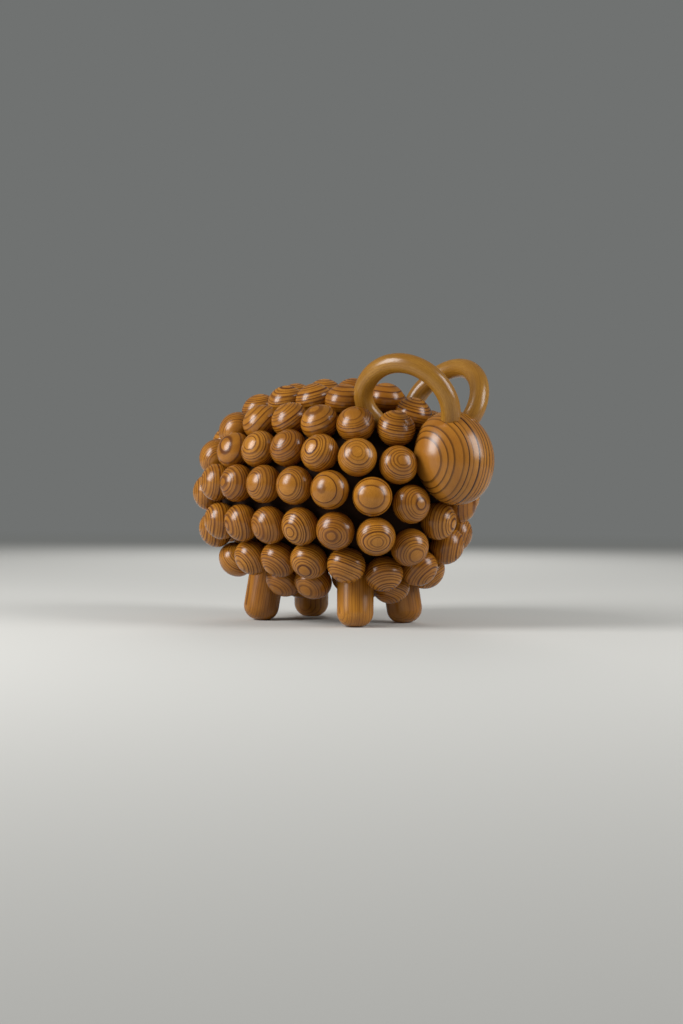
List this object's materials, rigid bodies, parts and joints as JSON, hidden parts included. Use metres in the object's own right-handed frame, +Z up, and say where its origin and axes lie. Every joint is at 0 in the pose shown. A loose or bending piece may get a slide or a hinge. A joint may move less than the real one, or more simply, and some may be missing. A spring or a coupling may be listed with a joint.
{
  "type": "wooden ram figurine",
  "caption": "Standing ram ornament of turned softwood: an oval body coated with round knobs, a smooth egg head, two bent rod horns and splayed peg legs.",
  "frame": {"origin": "on the ground at the middle of the figurine's bounding box, under the body", "axes": "+X from the rump to the head, +Y to the ram's left, +Z up"},
  "size_m": [0.311, 0.2146, 0.2435],
  "materials": {
    "knob_wood": "varnished",
    "head_wood": "varnished",
    "leg_wood": "varnished",
    "core_wood": "bare",
    "horn_wood": "varnished"
  },
  "bodies": {
    "root": {"body_core": "core_wood", "knobs_spine": "knob_wood", "knobs_chest": "knob_wood", "knobs_rump": "knob_wood", "knobs_belly": "knob_wood", "knobs_row_1_right": "knob_wood", "knobs_row_1_left": "knob_wood", "knobs_row_2_right": "knob_wood", "knobs_row_2_left": "knob_wood", "knobs_row_3_right": "knob_wood", "knobs_row_3_left": "knob_wood", "knobs_row_4_right": "knob_wood", "knobs_row_4_left": "knob_wood", "knobs_row_5_right": "knob_wood", "knobs_row_5_left": "knob_wood", "knobs_row_6_right": "knob_wood", "knobs_row_6_left": "knob_wood", "knobs_row_7_right": "knob_wood", "knobs_row_7_left": "knob_wood", "leg_front_right": "leg_wood", "leg_front_left": "leg_wood", "leg_rear_right": "leg_wood", "leg_rear_left": "leg_wood", "neck_dowel": "core_wood", "head": "head_wood", "horn_right": "horn_wood", "horn_left": "horn_wood"}
  },
  "joints": []
}
